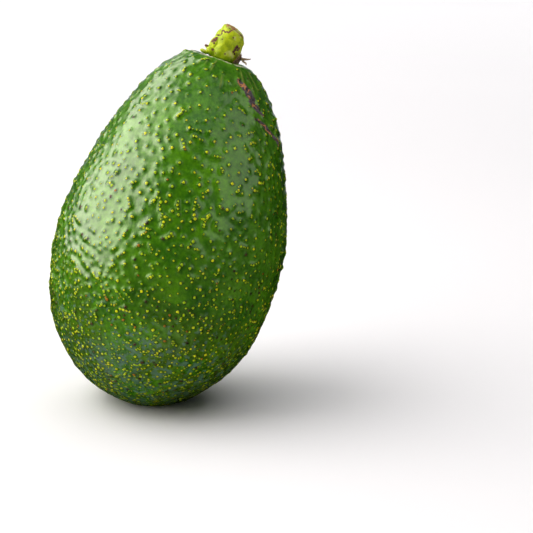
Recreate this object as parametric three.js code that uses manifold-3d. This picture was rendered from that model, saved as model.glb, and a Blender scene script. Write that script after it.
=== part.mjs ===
// A whole avocado, standing on its blossom end and leaning, with the stub of its stem in place.
// Millimetres, +Z up. The origin is on the small flat spot that the fruit rests on.

import * as THREE from 'three';
import { ConvexHull } from 'three/addons/math/ConvexHull.js';
import { mergeVertices } from 'three/addons/utils/BufferGeometryUtils.js';
import Module from 'manifold-3d';

const wasm = await Module();
wasm.setup();

// Driving dimensions of the fruit.
const BODY_LENGTH = 106; // along its axis, blossom end to stem end
const BELLY_RADIUS = 33.5; // at its widest ring
const LEAN_RIGHT = 15.3; // degrees, towards +X
const LEAN_BACK = 9.9; // degrees, towards +Y
const FLAT_DEPTH = 2; // how much of the blossom end the flat spot takes off
const HEEL_DROOP = 4; // the blossom end droops this far towards +Y
const HEEL_HEIGHT = 32; // where that droop has died out
const STEM_END_TILT = 3; // degrees, how far the stem end slopes down to the right
const STEM_END_START = 84; // where that slope begins

// The egg profile, r = sqrt(t) (1 - t)^b exp(-c t - d t^2), with t from blossom end to stem end.
const STEM_END_BLUNTNESS = 0.302;
const TAPER = 0.228;
const NECK_TAPER = 0.5;

// The surface: points spread evenly by area, of which some rise as pimples.
const SURFACE_POINTS = 4700;
const POINT_JITTER = 0.32; // of the distance between two points
const PIMPLE_HEIGHT = 0.45;
const PIMPLE_SPREAD = 0.15; // how much that height varies
const PIMPLE_SHARE_AT_STEM = 0.55; // of the places where a pimple could stand
const PIMPLE_SHARE_AT_BELLY = 0.95;
const WAVE_COUNT = 14;
const WAVE_LONGEST = 30;
const WAVE_SHORTEST = 8;
const WAVE_STEEPNESS = 0.0052; // height of a wave over its length

// The seat of the stem, in the fruit's own frame, a little off the axis.
const SEAT_OFFSET = 0.5;
const DISH_RADIUS = 8.7;
const DISH_FLOOR_RADIUS = 8.3;
const DISH_DEPTH = 0.8;
const COLLAR_RADIUS = 9;
const COLLAR_HEIGHT = 0.2;
const COLLAR_WIDTH = 0.6;
const COLLAR_RINGS = [0, 3.2, 6.2, 8.2, 9, 10.2]; // radii of the rings of points round the stem
const COLLAR_POINTS = [1, 8, 18, 36, 36, 36]; // points on each of them
const COLLAR_REACH = 11.3; // the evenly spread points start beyond this radius
const PEG_RADIUS = 3;
const PEG_DEPTH = 2.4; // below the dish's floor
const GAP = 0.3; // between two pieces that touch

// The stem.
const STEM_LENGTH = 9.2;
const STEM_FOOT_RADIUS = 4.5;
const STEM_WAIST_RADIUS = 4.2;
const STEM_TOP_RADIUS = 3.6;
const STEM_LEAN = 6; // degrees, beyond its seat
const CUT_SLANT_RIGHT = 17.5; // degrees, how far the cut end falls to the right
const CUT_SLANT_FRONT = 9;
const STEM_RINGS = 15;
const STEM_SIDES = 28;

// The dry bracts at the foot of the stem.
const BRACT_THICKNESS = 0.7;
const BRACT_HEIGHT = 2.6;
const BRACT_LIFT = 0.55; // its lower edge over the dish's floor
const BRACT_SLACK = 0.25; // more room where the stem's foot swells
const BRACT_ARC = 46; // degrees of the stem's foot that it hugs
const BRACT_MIDDLE = -31; // degrees, from +X towards the front
const SPIKE_LENGTH = 2.8;
const SPIKE_RADIUS = 0.42;
const SPIKE_HEIGHT = 1.15;

const GOLDEN_ANGLE = Math.PI * (3 - Math.sqrt(5));

const skinGreen = new THREE.MeshStandardMaterial({ color: 0x2f6d12, roughness: 0.38, metalness: 0 });
const stemGreen = new THREE.MeshStandardMaterial({ color: 0xaac41e, roughness: 0.55, metalness: 0 });
const dryBrown = new THREE.MeshStandardMaterial({ color: 0x6b4630, roughness: 0.85, metalness: 0 });

// A repeatable source of numbers from 0 to 1.
function seededRandom(seed) {
  let state = seed >>> 0;
  return () => {
    state = (Math.imul(state, 1664525) + 1013904223) >>> 0;
    return state / 4294967296;
  };
}

function radians(degrees) {
  return THREE.MathUtils.degToRad(degrees);
}

// A closed solid that can be joined and cut, from a closed geometry.
function solidOf(geometry) {
  const bare = geometry.clone();
  bare.deleteAttribute('normal');
  bare.deleteAttribute('uv');
  const merged = mergeVertices(bare, 1e-4);
  return new wasm.Manifold(new wasm.Mesh({
    numProp: 3,
    vertProperties: merged.attributes.position.array,
    triVerts: Uint32Array.from(merged.index.array),
  }));
}

function geometryOf(solid) {
  const mesh = solid.getMesh();
  const geometry = new THREE.BufferGeometry();
  geometry.setAttribute('position', new THREE.BufferAttribute(mesh.vertProperties, 3));
  geometry.setIndex(new THREE.BufferAttribute(mesh.triVerts, 1));
  geometry.computeVertexNormals();
  return geometry;
}

// Moves every vertex of a geometry in place.
function reshape(geometry, move) {
  const position = geometry.attributes.position;
  const point = new THREE.Vector3();
  for (let i = 0; i < position.count; i++) {
    point.fromBufferAttribute(position, i);
    move(point, i);
    position.setXYZ(i, point.x, point.y, point.z);
  }
  return geometry;
}

// The fruit's smooth form, in its own frame: z runs along its axis from the blossom end.

function eggShape(t) {
  const taper = Math.exp(-TAPER * t - NECK_TAPER * t * t);
  return Math.sqrt(t) * (1 - t) ** STEM_END_BLUNTNESS * taper;
}

function eggPeak() {
  let peak = 0;
  for (let step = 0; step <= 2000; step++) {
    peak = Math.max(peak, eggShape(step / 2000));
  }
  return peak;
}

const EGG_SCALE = BELLY_RADIUS / eggPeak();

// A point of the smooth body. The polar angle is 0 at the blossom end and pi at the stem end.
function bodyPoint(polar, angle) {
  const t = (1 - Math.cos(polar)) / 2;
  const radius = EGG_SCALE * eggShape(t);
  return new THREE.Vector3(radius * Math.cos(angle), radius * Math.sin(angle), BODY_LENGTH * t);
}

// The fruit isn't quite round about its axis: its blossom end droops and its stem end slopes.
function lopside(point) {
  const droop = 1 - THREE.MathUtils.smoothstep(point.z, 0, HEEL_HEIGHT);
  const nearStem = THREE.MathUtils.smoothstep(point.z, STEM_END_START, BODY_LENGTH);
  point.z -= nearStem * Math.tan(radians(STEM_END_TILT)) * point.x;
  point.y += HEEL_DROOP * droop;
  return point;
}

// How the fruit's own frame stands in the part's frame.
function stanceTurn() {
  const right = Math.tan(radians(LEAN_RIGHT));
  const back = Math.tan(radians(LEAN_BACK));
  const axis = new THREE.Vector3(right, back, 1).normalize();
  const across = new THREE.Vector3(1, 0, 0).addScaledVector(axis, -axis.x).normalize();
  const away = new THREE.Vector3().crossVectors(axis, across);
  return new THREE.Matrix4().makeBasis(across, away, axis);
}

// The stance puts the lowest point of the smooth body straight under the origin.
function stance() {
  const turn = stanceTurn();
  const lowest = new THREE.Vector3(0, 0, Infinity);
  for (let polar = 0.005; polar < 1.2; polar += 0.005) {
    for (let angle = 0; angle < 2 * Math.PI; angle += 0.01) {
      const point = lopside(bodyPoint(polar, angle)).applyMatrix4(turn);
      if (point.z < lowest.z) lowest.copy(point);
    }
  }
  return turn.setPosition(-lowest.x, -lowest.y, -lowest.z - FLAT_DEPTH);
}

// The seat of the stem, in the fruit's own frame.
function seatMatrix() {
  const place = lopside(new THREE.Vector3(SEAT_OFFSET, 0, BODY_LENGTH));
  const turn = new THREE.Quaternion().setFromEuler(new THREE.Euler(0, radians(STEM_END_TILT), 0));
  return new THREE.Matrix4().compose(place, turn, new THREE.Vector3(1, 1, 1));
}

// Rings of points round the stem, where the collar needs them.
function collarPoints() {
  const points = [];
  COLLAR_RINGS.forEach((radius, ring) => {
    for (let i = 0; i < COLLAR_POINTS[ring]; i++) {
      const angle = (2 * Math.PI * (i + ring / 2)) / COLLAR_POINTS[ring];
      const x = SEAT_OFFSET + radius * Math.cos(angle);
      const y = radius * Math.sin(angle);
      points.push(onStemEnd(x, y));
    }
  });
  return points;
}

// The point of the smooth body at a place across the stem end, found by halving.
function onStemEnd(x, y) {
  const reach = Math.hypot(x, y);
  let low = Math.PI * 0.75;
  let high = Math.PI;
  for (let step = 0; step < 40; step++) {
    const middle = (low + high) / 2;
    const point = bodyPoint(middle, 0);
    if (point.x > reach) low = middle;
    else high = middle;
  }
  return bodyPoint(high, Math.atan2(y, x));
}

// Points spread evenly by area over the smooth body, on a golden-angle spiral with jitter.
function spreadPoints(random) {
  const steps = 4000;
  const areaUpTo = [0];
  for (let step = 1; step <= steps; step++) {
    const below = bodyPoint((Math.PI * (step - 1)) / steps, 0);
    const above = bodyPoint((Math.PI * step) / steps, 0);
    const band = Math.PI * (below.x + above.x) * below.distanceTo(above);
    areaUpTo.push(areaUpTo[step - 1] + band);
  }
  const total = areaUpTo[steps];
  const spacing = Math.sqrt(total / SURFACE_POINTS);
  const points = [];
  let step = 1;
  for (let i = 0; i < SURFACE_POINTS; i++) {
    const wanted = (total * (i + 0.5)) / SURFACE_POINTS;
    while (areaUpTo[step] < wanted) step++;
    const part = (wanted - areaUpTo[step - 1]) / (areaUpTo[step] - areaUpTo[step - 1]);
    const polar = (Math.PI * (step - 1 + part)) / steps;
    const radius = bodyPoint(polar, 0).x;
    const along = ((random() - 0.5) * POINT_JITTER * spacing) / BELLY_RADIUS;
    const around = ((random() - 0.5) * POINT_JITTER * spacing) / Math.max(radius, spacing);
    const jittered = THREE.MathUtils.clamp(polar + along, 0.01, Math.PI - 0.01);
    const point = bodyPoint(jittered, i * GOLDEN_ANGLE + around);
    const onCollar = point.z > BODY_LENGTH / 2
      && Math.hypot(point.x - SEAT_OFFSET, point.y) < COLLAR_REACH;
    if (!onCollar) points.push(point);
  }
  return points;
}

// The convex body's points joined into triangles, sharing their vertices.
function hullGeometry(points) {
  const hull = new ConvexHull().setFromPoints(points);
  const numberOf = new Map(points.map((point, i) => [point, i]));
  const index = [];
  for (const face of hull.faces) {
    let edge = face.edge;
    do {
      index.push(numberOf.get(edge.head().point));
      edge = edge.next;
    } while (edge !== face.edge);
  }
  const geometry = new THREE.BufferGeometry().setFromPoints(points);
  geometry.setIndex(index);
  geometry.computeVertexNormals();
  return geometry;
}

function neighboursOf(geometry) {
  const index = geometry.index.array;
  const neighbours = Array.from({ length: geometry.attributes.position.count }, () => new Set());
  for (let i = 0; i < index.length; i += 3) {
    const corners = [index[i], index[i + 1], index[i + 2]];
    for (const corner of corners) {
      for (const other of corners) {
        if (other !== corner) neighbours[corner].add(other);
      }
    }
  }
  return neighbours;
}

// The vertices that rise as pimples: no two of them are next to each other.
function pimpleHeights(geometry, random) {
  const neighbours = neighboursOf(geometry);
  const order = neighbours.map((_, i) => [random(), i]).sort((a, b) => a[0] - b[0]);
  const heights = new Float32Array(neighbours.length);
  const taken = new Uint8Array(neighbours.length);
  const point = new THREE.Vector3();
  for (const [, i] of order) {
    point.fromBufferAttribute(geometry.attributes.position, i);
    const nearStem = THREE.MathUtils.smoothstep(point.z / BODY_LENGTH, 0.45, 0.9);
    const share = THREE.MathUtils.lerp(PIMPLE_SHARE_AT_BELLY, PIMPLE_SHARE_AT_STEM, nearStem);
    const fromSeat = Math.hypot(point.x - SEAT_OFFSET, point.y);
    const onCollar = point.z > BODY_LENGTH / 2 && fromSeat < COLLAR_REACH;
    if (taken[i] || onCollar || random() > share) continue;
    taken[i] = 1;
    for (const other of neighbours[i]) taken[other] = 1;
    heights[i] = PIMPLE_HEIGHT + PIMPLE_SPREAD * (2 * random() - 1);
  }
  return heights;
}

// The slow swell and dip of the skin: a few waves that run in directions spread over a sphere.
function undulation(point) {
  let height = 0;
  for (let i = 0; i < WAVE_COUNT; i++) {
    const length = THREE.MathUtils.lerp(WAVE_LONGEST, WAVE_SHORTEST, i / (WAVE_COUNT - 1));
    const rise = 1 - (2 * (i + 0.5)) / WAVE_COUNT;
    const turn = i * GOLDEN_ANGLE;
    const flat = Math.sqrt(1 - rise * rise);
    const along = flat * (Math.cos(turn) * point.x + Math.sin(turn) * point.y) + rise * point.z;
    height += WAVE_STEEPNESS * length * Math.sin((2 * Math.PI * along) / length + turn);
  }
  return height;
}

// The low ridge round the stem's seat.
function collarRidge(point) {
  if (point.z < BODY_LENGTH / 2) return 0;
  const fromRidge = Math.hypot(point.x - SEAT_OFFSET, point.y) - COLLAR_RADIUS;
  return COLLAR_HEIGHT * Math.exp(-((fromRidge / COLLAR_WIDTH) ** 2));
}

// What the stem's seat takes out of the fruit: a shallow dish with a hole for the stem's root.
function seatCutter() {
  const holeRadius = PEG_RADIUS + GAP;
  const floor = -DISH_DEPTH;
  const profile = [
    new THREE.Vector2(0, floor - PEG_DEPTH),
    new THREE.Vector2(holeRadius, floor - PEG_DEPTH),
    new THREE.Vector2(holeRadius, floor),
    new THREE.Vector2(DISH_FLOOR_RADIUS, floor),
    new THREE.Vector2(DISH_RADIUS, 0),
    new THREE.Vector2(DISH_RADIUS + 1, 3),
    new THREE.Vector2(0, 3),
  ];
  const lathe = new THREE.LatheGeometry(profile, STEM_SIDES);
  return lathe.rotateX(Math.PI / 2).applyMatrix4(seatMatrix());
}

function fruitGeometry(stand) {
  const random = seededRandom(20);
  const body = hullGeometry([...collarPoints(), ...spreadPoints(random)]);
  const heights = pimpleHeights(body, random);
  const normals = body.attributes.normal;
  const normal = new THREE.Vector3();
  reshape(body, (point, i) => {
    normal.fromBufferAttribute(normals, i);
    point.addScaledVector(normal, heights[i] + undulation(point) + collarRidge(point));
    lopside(point);
  });
  body.applyMatrix4(stand);

  const ground = new THREE.BoxGeometry(80, 80, 20).translate(0, 0, -10);
  const seat = seatCutter().applyMatrix4(stand);
  const cut = solidOf(body).subtract(solidOf(ground)).subtract(solidOf(seat));
  return geometryOf(cut);
}

// The stem, in its seat's frame: a root peg, a swollen foot and a tapering stub.

function stemProfile(margin) {
  const foot = GAP - DISH_DEPTH;
  const side = new THREE.SplineCurve([
    new THREE.Vector2(PEG_RADIUS + 0.15 + margin, foot),
    new THREE.Vector2(STEM_FOOT_RADIUS - 0.15 + margin, foot + 0.35),
    new THREE.Vector2(STEM_FOOT_RADIUS + margin, foot + 1.1),
    new THREE.Vector2(STEM_WAIST_RADIUS + margin, foot + 3),
    new THREE.Vector2(STEM_WAIST_RADIUS + margin, 0.55 * STEM_LENGTH),
    new THREE.Vector2(STEM_TOP_RADIUS + margin, STEM_LENGTH - 1.5),
    new THREE.Vector2(STEM_TOP_RADIUS - 0.25 + margin, STEM_LENGTH - 0.7),
    new THREE.Vector2(STEM_TOP_RADIUS - 0.9 + margin, STEM_LENGTH - 0.1),
  ]);
  const root = -DISH_DEPTH - PEG_DEPTH + GAP;
  return [
    new THREE.Vector2(0, root),
    new THREE.Vector2(PEG_RADIUS - 0.3, root),
    new THREE.Vector2(PEG_RADIUS, root + 0.4),
    new THREE.Vector2(PEG_RADIUS, foot - 0.05),
    ...side.getPoints(STEM_RINGS),
    new THREE.Vector2(STEM_TOP_RADIUS * 0.45, STEM_LENGTH + 0.15),
    new THREE.Vector2(0, STEM_LENGTH + 0.1),
  ];
}

// Lengthwise ribs, uneven swellings and the slanted cut of the stub.
function shapeStem(point) {
  const above = Math.max(point.z, 0);
  const along = above / STEM_LENGTH;
  const angle = Math.atan2(point.y, point.x);
  const ribs = 0.03 * Math.sin(3 * angle + 0.6 + 1.5 * along) + 0.02 * Math.sin(5 * angle - 2 * along);
  const rings = 0.025 * Math.sin(1.9 * above + 2 * Math.sin(angle + 0.8));
  const swell = 1 + Math.min(above, 1) * (ribs + rings);
  point.x *= swell;
  point.y *= swell;
  const fallRight = Math.tan(radians(CUT_SLANT_RIGHT)) * point.x;
  const riseBack = Math.tan(radians(CUT_SLANT_FRONT)) * point.y;
  point.z += (riseBack - fallRight) * along ** 1.5;
  point.x += above * Math.tan(radians(STEM_LEAN));
}

// A rounded lump joined to the stem: a swelling of its side or a scale at its foot.
function lump(size, place, tilt) {
  const ball = new THREE.SphereGeometry(1, 16, 10);
  ball.rotateX(Math.PI / 2).scale(size.x, size.y, size.z);
  return ball.rotateY(radians(tilt)).translate(place.x, place.y, place.z);
}

function stubSolid(margin) {
  const stub = new THREE.LatheGeometry(stemProfile(margin), STEM_SIDES).rotateX(Math.PI / 2);
  return solidOf(reshape(stub, shapeStem));
}

function stemGeometry() {
  const lumps = [
    lump(new THREE.Vector3(2, 2.2, 3), new THREE.Vector3(-2.9, -0.9, 3), 12),
    lump(new THREE.Vector3(1.9, 2, 2.4), new THREE.Vector3(-2, -0.6, 6), 12),
    lump(new THREE.Vector3(1, 0.8, 0.5), new THREE.Vector3(-5.1, -1.5, 1.75), 25),
    lump(new THREE.Vector3(1.5, 1, 0.62), new THREE.Vector3(-5.5, -1.7, 0.55), 8),
    lump(new THREE.Vector3(1.9, 1.3, 1), new THREE.Vector3(-2.8, -2.8, 0.75), 20),
    lump(new THREE.Vector3(1.5, 1.1, 0.8), new THREE.Vector3(2.6, 3.1, 0.5), -15),
  ];
  return geometryOf(lumps.reduce((solid, ball) => solid.add(solidOf(ball)), stubSolid(0)));
}

// The dry bracts: a torn flap that hugs the stem's foot, with a spike that sticks out to the right.

function bractFlap() {
  const width = radians(BRACT_ARC) * (STEM_FOOT_RADIUS + GAP);
  const outline = new THREE.Shape();
  outline.moveTo(-width / 2, 0);
  outline.lineTo(width / 2, 0);
  outline.quadraticCurveTo(width * 0.52, BRACT_HEIGHT * 0.5, width * 0.36, BRACT_HEIGHT * 0.74);
  outline.lineTo(width * 0.22, BRACT_HEIGHT * 0.62);
  outline.quadraticCurveTo(width * 0.05, BRACT_HEIGHT * 0.95, -width * 0.1, BRACT_HEIGHT);
  outline.quadraticCurveTo(-width * 0.22, BRACT_HEIGHT * 0.6, -width * 0.3, BRACT_HEIGHT * 0.72);
  outline.quadraticCurveTo(-width * 0.5, BRACT_HEIGHT * 0.4, -width / 2, 0);
  const flap = new THREE.ExtrudeGeometry(outline, {
    depth: BRACT_THICKNESS,
    steps: 1,
    curveSegments: 5,
    bevelEnabled: false,
  });
  const foot = BRACT_LIFT - DISH_DEPTH;
  const inner = STEM_FOOT_RADIUS + GAP + BRACT_SLACK;
  return reshape(flap, (point) => {
    const angle = radians(BRACT_MIDDLE) + point.x / inner;
    const radius = inner + point.z;
    const height = foot + point.y;
    const lean = Math.max(height, 0) * Math.tan(radians(STEM_LEAN));
    point.set(radius * Math.cos(angle) + lean, radius * Math.sin(angle), height);
  });
}

function bractSpike() {
  const spike = new THREE.CylinderGeometry(0.2, SPIKE_RADIUS, SPIKE_LENGTH, 8, 4);
  spike.rotateZ(-Math.PI / 2).translate(SPIKE_LENGTH / 2, 0, 0);
  reshape(spike, (point) => {
    point.z += 0.12 * point.x * point.x;
    point.y -= 0.04 * point.x;
  });
  return spike.translate(STEM_FOOT_RADIUS + GAP + 0.25, -1.5, SPIKE_HEIGHT);
}

function bractsGeometry() {
  return geometryOf(solidOf(bractFlap()).add(solidOf(bractSpike())).subtract(stubSolid(GAP)));
}

const stand = stance();
const avocado = new THREE.Group();

const fruit = new THREE.Mesh(fruitGeometry(stand), skinGreen);
fruit.name = 'fruit';
avocado.add(fruit);

const seat = new THREE.Group();
seat.applyMatrix4(new THREE.Matrix4().multiplyMatrices(stand, seatMatrix()));
avocado.add(seat);

const stem = new THREE.Mesh(stemGeometry(), stemGreen);
stem.name = 'stem';
seat.add(stem);

const bracts = new THREE.Mesh(bractsGeometry(), dryBrown);
bracts.name = 'dry_bracts';
seat.add(bracts);

export default avocado;
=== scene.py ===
"""A whole avocado on its blossom end, with the stub of its stem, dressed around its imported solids.

Sizes are in millimetres until a mesh is placed, and the finished meshes are in metres. The form's own
frame has z along the fruit's axis, from the blossom end to the stem end.
"""

import logging
import math
from dataclasses import dataclass
from enum import Enum, IntEnum
from functools import cached_property
from itertools import product
from typing import Any, Callable

import bmesh
import bpy
import numpy as np
from bmesh.types import BMesh
from mathutils import Matrix, Vector, noise
from mathutils.kdtree import KDTree


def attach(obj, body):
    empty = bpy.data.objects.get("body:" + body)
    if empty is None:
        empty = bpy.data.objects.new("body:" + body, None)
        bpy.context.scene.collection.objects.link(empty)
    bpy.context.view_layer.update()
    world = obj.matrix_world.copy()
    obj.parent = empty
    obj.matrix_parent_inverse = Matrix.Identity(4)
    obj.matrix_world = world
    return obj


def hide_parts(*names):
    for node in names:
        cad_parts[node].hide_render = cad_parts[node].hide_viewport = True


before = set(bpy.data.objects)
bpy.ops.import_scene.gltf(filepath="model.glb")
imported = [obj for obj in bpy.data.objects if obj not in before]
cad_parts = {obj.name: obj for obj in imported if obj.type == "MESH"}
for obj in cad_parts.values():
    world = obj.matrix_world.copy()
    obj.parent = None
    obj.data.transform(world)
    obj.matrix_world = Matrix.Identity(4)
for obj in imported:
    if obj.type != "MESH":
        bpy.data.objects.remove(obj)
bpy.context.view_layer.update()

LOG = logging.getLogger("avocado")
MM = 0.001
GOLDEN_ANGLE = math.pi * (3 - math.sqrt(5))
BODY = "root"

Array = np.ndarray
Mesh = bpy.types.Mesh
Material = bpy.types.Material
Object = bpy.types.Object
Colour = tuple[float, float, float, float]
Band = tuple[float, float]
Place = tuple[float, float, float]
Stops = tuple[Band, ...]

BLACK: Colour = (0.0, 0.0, 0.0, 1.0)
WHITE: Colour = (1.0, 1.0, 1.0, 1.0)


class Slot(Enum):
    """The record's material slots."""

    SKIN = "skin"
    STEM = "stem"
    BRACT = "dry_bract"


class Output(IntEnum):
    """Where a node has the output that is read, counted from 0."""

    FIRST = 0
    LENGTH = 1
    VECTOR = 1
    NUMBER = 2
    MIXED_COLOUR = 2
    OBJECT_PLACE = 3


def operator(operation: str, swapped: bool = False) -> Callable[["Wire", "Operand"], "Wire"]:
    """Makes a method of Wire.

    Args:
        operation: the Math node that it adds.
        swapped: whether the other value comes first.

    Returns:
        The method.
    """

    def method(wire: "Wire", other: "Operand") -> "Wire":
        """A Math node on two values."""
        first, second = (other, wire) if swapped else (wire, other)
        return wire.graph.node("ShaderNodeMath", {"operation": operation}, {0: first, 1: second})

    return method


@dataclass(frozen=True)
class Wire:
    """One output of a material's nodes, with arithmetic that adds the Math nodes it needs."""

    graph: "Graph"
    socket: bpy.types.NodeSocket

    __add__ = operator("ADD")
    __radd__ = operator("ADD", swapped=True)
    __sub__ = operator("SUBTRACT")
    __rsub__ = operator("SUBTRACT", swapped=True)
    __mul__ = operator("MULTIPLY")
    __truediv__ = operator("DIVIDE")
    at_least = operator("MAXIMUM")

    def rise(self, low: float, high: float, shape: str = "SMOOTHSTEP") -> "Wire":
        """Goes from 0 at one value to 1 at another, which may be the smaller one.

        Args:
            low: where it is 0.
            high: where it is 1.
            shape: how it goes in between.

        Returns:
            The share.
        """
        if low > high:
            return 1 - self.rise(high, low, shape)
        sockets = {0: self, 1: low, 2: high, 3: 0.0, 4: 1.0}
        return self.graph.node("ShaderNodeMapRange", {"interpolation_type": shape}, sockets)


Operand = Wire | float


def srgb(red: int, green: int, blue: int) -> Colour:
    """A display colour, from 0 to 255 each way, as the linear colour that a shader takes.

    Args:
        red: its red.
        green: its green.
        blue: its blue.

    Returns:
        The linear colour.
    """
    parts = []
    for value in (red, green, blue):
        share = value / 255
        parts.append(share / 12.92 if share <= 0.04045 else ((share + 0.055) / 1.055) ** 2.4)
    return (parts[0], parts[1], parts[2], 1.0)


@dataclass
class Graph:
    """A node tree that is filled by short calls."""

    tree: bpy.types.NodeTree

    def node(
        self, kind: str, settings: dict[str, Any], sockets: dict[Any, Any], output: int = Output.FIRST
    ) -> Wire:
        """Adds one node.

        Args:
            kind: the node's type.
            settings: its own settings.
            sockets: the value or the wire of each input.
            output: which of its outputs to read.

        Returns:
            That output.
        """
        made = self.tree.nodes.new(kind)
        for key, value in settings.items():
            setattr(made, key, value)
        for key, value in sockets.items():
            self.feed(made.inputs[key], value)
        return Wire(self, made.outputs[output])

    def feed(self, target: bpy.types.NodeSocket, value: Any) -> None:
        """Links a wire to an input, or sets the input's value.

        Args:
            target: the input.
            value: a wire or a plain value.
        """
        if isinstance(value, Wire):
            self.tree.links.new(value.socket, target)
        else:
            target.default_value = value


class Shader(Graph):
    """The node tree of one material."""

    def __init__(self, name: str) -> None:
        """Starts with a surface shader alone.

        Args:
            name: the material's name.
        """
        self.material = bpy.data.materials.new(name)
        self.material.use_nodes = True
        super().__init__(self.material.node_tree)
        self.surface = self.tree.nodes["Principled BSDF"]

    def set(self, **values: Any) -> None:
        """Sets or links inputs of the surface shader, with _ for each space in a name."""
        for key, value in values.items():
            self.feed(self.surface.inputs[key.replace("_", " ")], value)

    @cached_property
    def place(self) -> Wire:
        """The place on the object, in metres."""
        return self.node("ShaderNodeTexCoord", {}, {}, Output.OBJECT_PLACE)

    def grain(self, size: float, detail: float = 2.0, roughness: float = 0.5, warp: float = 0.0) -> Wire:
        """Noise from 0 to 1 over the object.

        Args:
            size: how far apart its blotches are, in millimetres.
            detail: how many finer layers it has.
            roughness: how strong those are.
            warp: how much it is distorted.

        Returns:
            The noise.
        """
        sockets = {"Vector": self.place, "Scale": 1 / (size * MM), "Detail": detail}
        sockets |= {"Roughness": roughness, "Distortion": warp}
        return self.node("ShaderNodeTexNoise", {}, sockets)

    def jitter(self, size: float, detail: float, roughness: float, reach: float) -> Wire:
        """Noise about 0, which makes an edge ragged by up to half its reach each way."""
        return (self.grain(size, detail, roughness) - 0.5) * reach

    def streaks(self, size: float, stretch: float) -> Wire:
        """Noise from 0 to 1 of a size in millimetres, drawn out so many times along the object's height.

        Args:
            size: how wide they are.
            stretch: how many times as long they are.

        Returns:
            The noise.
        """
        squeeze = (1.0, 1.0, 1 / stretch)
        place = self.vectors("MULTIPLY", self.place, squeeze)
        sockets = {"Vector": place, "Scale": 1 / (size * MM), "Detail": 3.0}
        return self.node("ShaderNodeTexNoise", {}, sockets)

    def cells(self, size: float, feature: str = "F1") -> Wire:
        """Distance to the nearest of a scatter of points, in shares of their spacing."""
        sockets = {"Vector": self.place, "Scale": 1 / (size * MM)}
        return self.node("ShaderNodeTexVoronoi", {"feature": feature}, sockets)

    def measured(self, name: str, kind: Output = Output.NUMBER) -> Wire:
        """A number or a vector that the mesh holds at each vertex or face."""
        return self.node("ShaderNodeAttribute", {"attribute_name": name}, {}, kind)

    def part_of(self, vector: Wire, axis: int) -> Wire:
        """One of the three numbers of a vector."""
        return self.node("ShaderNodeSeparateXYZ", {}, {0: vector}, axis)

    def distance(self, first: Wire, second: Wire) -> Wire:
        """How far apart two places are, in millimetres."""
        return self.vectors("DISTANCE", first, second, output=Output.LENGTH) / MM

    def vectors(self, operation: str, *inputs: Any, output: Output = Output.FIRST) -> Wire:
        """A Vector Math node."""
        return self.node("ShaderNodeVectorMath", {"operation": operation}, dict(enumerate(inputs)), output)

    def mix(self, share: Operand, first: Any, second: Any) -> Wire:
        """The first colour, with the second one over it by a share from 0 to 1."""
        settings = {"data_type": "RGBA", "clamp_factor": True}
        return self.node("ShaderNodeMix", settings, {0: share, 6: first, 7: second}, Output.MIXED_COLOUR)

    def layered(self, colour: Any, *layers: tuple[Operand, Any]) -> Wire:
        """A colour with others laid over it in turn, each with the share that it covers.

        Args:
            colour: the lowest colour.
            layers: the share and the colour of each layer.

        Returns:
            The colour of them all.
        """
        for share, over in layers:
            colour = self.mix(share, colour, over)
        return colour

    def bump(self, height: Wire) -> Wire:
        """A normal for a fine relief whose height is in millimetres."""
        return self.node("ShaderNodeBump", {}, {"Strength": 1.0, "Distance": MM, "Height": height})


def smooth_rise(values: Array, low: float, high: float) -> Array:
    """Goes smoothly from 0 at one value to 1 at another."""
    share = np.clip((values - low) / (high - low), 0, 1)
    return share * share * (3 - 2 * share)


def follow(values: Array, stops: Stops) -> Array:
    """What a quantity is at each value, in straight runs through its stops."""
    places, heights = zip(*stops)
    return np.interp(values, places, heights)


def smooth_floor(values: Array, floor: Array | float, soft: float) -> Array:
    """Values held above a floor, rounded off over a short stretch on both sides of it.

    Args:
        values: the values.
        floor: one floor for all, or one for each.
        soft: how far from the floor the rounding reaches.

    Returns:
        The values, none of them under its floor.
    """
    above = values - floor
    rounded = (above + soft) ** 2 / (4 * soft)
    return floor + np.where(above > soft, above, np.where(above < -soft, 0, rounded))


def wander(points: Array, size: float, shift: float = 0.0) -> Array:
    """Smooth noise from about -1 to 1 at each point, with blotches of a size in millimetres."""
    offset = Vector((shift, 1.7 * shift, -0.9 * shift))
    return np.array([noise.noise(Vector(point) / size + offset) for point in points.tolist()])


def from_segment(points: Array, start: Array, end: Array) -> tuple[Array, Array]:
    """The share of a segment at which each point is nearest to it, and how far away the point is.

    Args:
        points: the points.
        start: where the segment starts.
        end: where it ends.

    Returns:
        The shares and the distances.
    """
    run = end - start
    share = np.clip((points - start) @ run / (run @ run), 0, 1)
    return share, np.linalg.norm(points - start - share[:, None] * run, axis=1)


def homogeneous(turn: Array, place: Array) -> Array:
    """A 4 by 4 matrix from a turn and a place.

    Args:
        turn: a 3 by 3 matrix.
        place: where the origin goes.

    Returns:
        The matrix.
    """
    matrix = np.eye(4)
    matrix[:3, :3] = turn
    matrix[:3, 3] = place
    return matrix


def moved(points: Array, matrix: Array) -> Array:
    """Points put through a 4 by 4 matrix."""
    return points @ matrix[:3, :3].T + matrix[:3, 3]


def tree_of(points: Array) -> KDTree:
    """A search tree over some points.

    Args:
        points: the points, which keep their numbers.

    Returns:
        The tree.
    """
    tree = KDTree(len(points))
    for i, point in enumerate(points.tolist()):
        tree.insert(point, i)
    tree.balance()
    return tree


def swept(radius: Array, around: Array, height: Array) -> Array:
    """Points at a distance from the axis, at an angle round it and at a height."""
    return np.stack([radius * np.cos(around), radius * np.sin(around), height], axis=-1)


def slope(degrees: float) -> float:
    """How far a line at an angle rises over a run of 1."""
    return math.tan(math.radians(degrees))


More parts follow.
